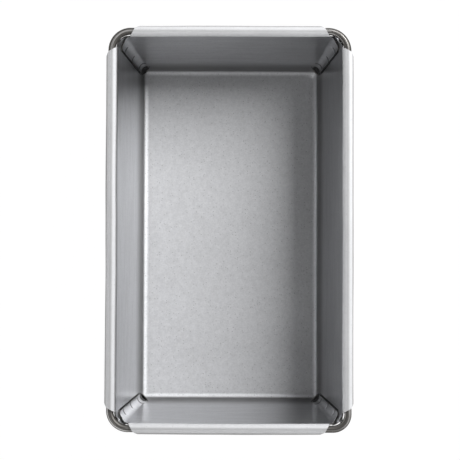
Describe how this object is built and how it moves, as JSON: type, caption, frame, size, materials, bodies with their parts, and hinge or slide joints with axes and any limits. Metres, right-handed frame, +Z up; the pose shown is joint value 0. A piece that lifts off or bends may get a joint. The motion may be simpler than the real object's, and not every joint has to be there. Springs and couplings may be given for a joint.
{
  "type": "loaf pan",
  "caption": "Rectangular folded-steel loaf pan with leaning walls, lapped corners and rims rolled over a bare-cornered steel wire.",
  "frame": {"origin": "centre of the underside of the base, on the surface the pan stands on", "axes": "+Z up out of the open mouth, Y along the pan's length, X across its width"},
  "size_m": [0.1562, 0.2572, 0.07],
  "materials": {
    "pan_steel": "aluminised sheet steel, satin, with a fine mottled grain",
    "wire_steel": "drawn steel wire, dulled by the oven"
  },
  "bodies": {
    "root": {"folded_pan": "pan_steel", "rim_wire": "wire_steel"}
  },
  "joints": []
}
